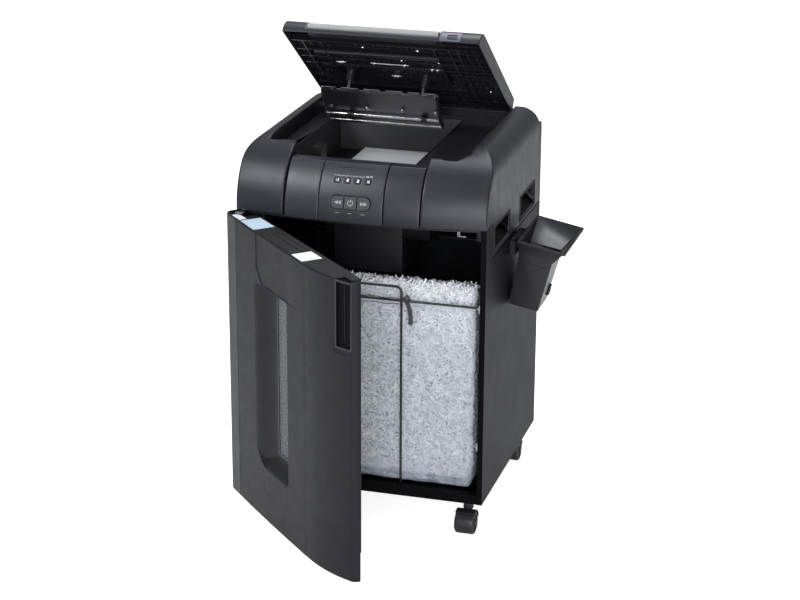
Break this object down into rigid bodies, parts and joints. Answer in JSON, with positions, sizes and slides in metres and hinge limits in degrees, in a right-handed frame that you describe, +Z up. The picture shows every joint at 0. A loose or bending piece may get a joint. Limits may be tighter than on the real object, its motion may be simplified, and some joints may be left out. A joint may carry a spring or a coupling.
{
  "type": "auto-feed paper shredder",
  "caption": "Office paper shredder on casters with a hinged lid over a sheet tray, a bowed door, a bag of shreds inside and a small waste bin on its side.",
  "frame": {"origin": "on the floor, under the middle of the cabinet", "axes": "+X to the right seen from the front, +Y towards the back, +Z up"},
  "size_m": [0.6753, 0.8871, 1.0483],
  "materials": {
    "panel_board": "satin black laminate",
    "black_plastic": "matte",
    "charcoal_plastic": "satin, fine grain",
    "grey_plastic": "satin",
    "door_plastic": "satin, fine grain",
    "gloss_black": "gloss",
    "silver_trim": "silver paint",
    "steel": "brushed",
    "bright_steel": "polished",
    "black_steel": "black paint",
    "brass": "plain",
    "rubber": "matte",
    "board": "solder mask",
    "clear": "clear plastic",
    "paper": "matte",
    "bag_film": "clear film",
    "shreds": "loose cross-cut shreds",
    "wheel_plastic": "satin",
    "motor_paint": "satin paint"
  },
  "bodies": {
    "cabinet": {"side_panel_left": "panel_board", "side_panel_right": "panel_board", "back_panel": "panel_board", "base_panel": "panel_board", "front_rail": "black_plastic", "head_base": "black_plastic", "shred_chute": "black_plastic", "cheek_left": "charcoal_plastic", "cheek_right": "charcoal_plastic", "rear_cover": "charcoal_plastic", "front_panel_left": "grey_plastic", "control_panel": "grey_plastic", "front_panel_right": "grey_plastic", "feed_deck": "black_plastic", "paper_tray": "charcoal_plastic", "paper_stack": "paper", "paper_guide": "black_plastic", "cutter_frame": "steel", "motor": "motor_paint", "circuit_board": "board", "power_inlet": "gloss_black", "indicator_lamps": "gloss_black", "bag_frame": "black_steel", "shred_bag": "bag_film", "shred_fill": "shreds", "bin_bracket": "black_plastic", "panel_screws": "steel", "door_brackets": "steel"},
    "door": {"door_skin": "door_plastic", "door_liner": "black_plastic", "door_window": "clear", "door_handle": "gloss_black", "door_pins": "steel"},
    "lid": {"lid_shell": "charcoal_plastic", "lid_inner": "black_plastic", "lid_rail": "silver_trim", "lid_latch": "silver_trim"},
    "plate": {"lid_posts": "bright_steel", "pressure_plate": "steel", "plate_rods": "bright_steel"},
    "front_cutter": {"cutter_front": "steel", "gear_front": "steel"},
    "rear_cutter": {"cutter_rear": "steel", "gear_rear": "steel"},
    "pinion": {"motor_pinion": "brass"},
    "feeder": {"feed_roller": "steel", "feed_tyres": "rubber"},
    "reverse_key": {"button_reverse": "grey_plastic"},
    "power_key": {"button_power": "grey_plastic"},
    "forward_key": {"button_forward": "grey_plastic"},
    "mains_rocker": {"power_switch": "gloss_black"},
    "bin": {"disc_bin": "gloss_black"},
    "swivel_front_left": {"caster_front_left": "wheel_plastic"},
    "roll_front_left": {"wheels_front_left": "wheel_plastic"},
    "swivel_front_right": {"caster_front_right": "wheel_plastic"},
    "roll_front_right": {"wheels_front_right": "wheel_plastic"},
    "swivel_rear_left": {"caster_rear_left": "wheel_plastic"},
    "roll_rear_left": {"wheels_rear_left": "wheel_plastic"},
    "swivel_rear_right": {"caster_rear_right": "wheel_plastic"},
    "roll_rear_right": {"wheels_rear_right": "wheel_plastic"}
  },
  "joints": [
    {"name": "door_hinge", "type": "hinge", "parent": "cabinet", "child": "door", "pos_m": [-0.26, -0.262, 0.375], "axis": [0, 0, 1], "range_deg": [-60, 45.5]},
    {"name": "lid_hinge", "type": "hinge", "parent": "cabinet", "child": "lid", "pos_m": [0, 0.232, 0.808], "axis": [1, 0, 0], "range_deg": [0, 35.5]},
    {"name": "plate_slide", "type": "slide", "parent": "lid", "child": "plate", "axis": [0, 0.5807, 0.8141], "range_m": [0, 0.018], "stiffness_N_per_m": 900, "springref_m": -0.02},
    {"name": "rear_cutter_spin", "type": "hinge", "parent": "cabinet", "child": "rear_cutter", "pos_m": [0, 0.014, 0.666], "axis": [1, 0, 0], "continuous": true},
    {"name": "front_cutter_spin", "type": "hinge", "parent": "cabinet", "child": "front_cutter", "pos_m": [0, -0.038, 0.666], "axis": [1, 0, 0], "continuous": true},
    {"name": "pinion_spin", "type": "hinge", "parent": "cabinet", "child": "pinion", "pos_m": [0.111, 0.0348, 0.70203], "axis": [1, 0, 0], "continuous": true},
    {"name": "feed_spin", "type": "hinge", "parent": "cabinet", "child": "feeder", "pos_m": [-0.014, 0.082, 0.694], "axis": [1, 0, 0], "continuous": true},
    {"name": "reverse_press", "type": "slide", "parent": "cabinet", "child": "reverse_key", "axis": [0, 0.9625, -0.2714], "range_m": [0, 0.0015], "stiffness_N_per_m": 900, "springref_m": -0.0008},
    {"name": "power_press", "type": "slide", "parent": "cabinet", "child": "power_key", "axis": [0, 0.9625, -0.2714], "range_m": [0, 0.0015], "stiffness_N_per_m": 900, "springref_m": -0.0008},
    {"name": "forward_press", "type": "slide", "parent": "cabinet", "child": "forward_key", "axis": [0, 0.9625, -0.2714], "range_m": [0, 0.0015], "stiffness_N_per_m": 900, "springref_m": -0.0008},
    {"name": "mains_rocker_tilt", "type": "hinge", "parent": "cabinet", "child": "mains_rocker", "pos_m": [0.096, 0.241, 0.722], "axis": [1, 0, 0], "range_deg": [0, 16]},
    {"name": "bin_lift", "type": "slide", "parent": "cabinet", "child": "bin", "axis": [0, 0, 1], "range_m": [0, 0.045]},
    {"name": "swivel_front_left", "type": "hinge", "parent": "cabinet", "child": "swivel_front_left", "pos_m": [-0.232, -0.21, 0.075], "axis": [0, 0, 1], "continuous": true},
    {"name": "roll_front_left", "type": "hinge", "parent": "swivel_front_left", "child": "roll_front_left", "pos_m": [-0.232, -0.23, 0.025], "axis": [1, 0, 0], "continuous": true},
    {"name": "swivel_front_right", "type": "hinge", "parent": "cabinet", "child": "swivel_front_right", "pos_m": [0.232, -0.21, 0.075], "axis": [0, 0, 1], "continuous": true},
    {"name": "roll_front_right", "type": "hinge", "parent": "swivel_front_right", "child": "roll_front_right", "pos_m": [0.232, -0.23, 0.025], "axis": [1, 0, 0], "continuous": true},
    {"name": "swivel_rear_left", "type": "hinge", "parent": "cabinet", "child": "swivel_rear_left", "pos_m": [-0.232, 0.204, 0.075], "axis": [0, 0, 1], "continuous": true},
    {"name": "roll_rear_left", "type": "hinge", "parent": "swivel_rear_left", "child": "roll_rear_left", "pos_m": [-0.232, 0.184, 0.025], "axis": [1, 0, 0], "continuous": true},
    {"name": "swivel_rear_right", "type": "hinge", "parent": "cabinet", "child": "swivel_rear_right", "pos_m": [0.232, 0.204, 0.075], "axis": [0, 0, 1], "continuous": true},
    {"name": "roll_rear_right", "type": "hinge", "parent": "swivel_rear_right", "child": "roll_rear_right", "pos_m": [0.232, 0.184, 0.025], "axis": [1, 0, 0], "continuous": true}
  ],
  "couplings": [
    {"joint": "front_cutter_spin", "follows": "rear_cutter_spin", "ratio": -1},
    {"joint": "pinion_spin", "follows": "rear_cutter_spin", "ratio": -1.6667},
    {"joint": "feed_spin", "follows": "rear_cutter_spin", "ratio": 1}
  ]
}
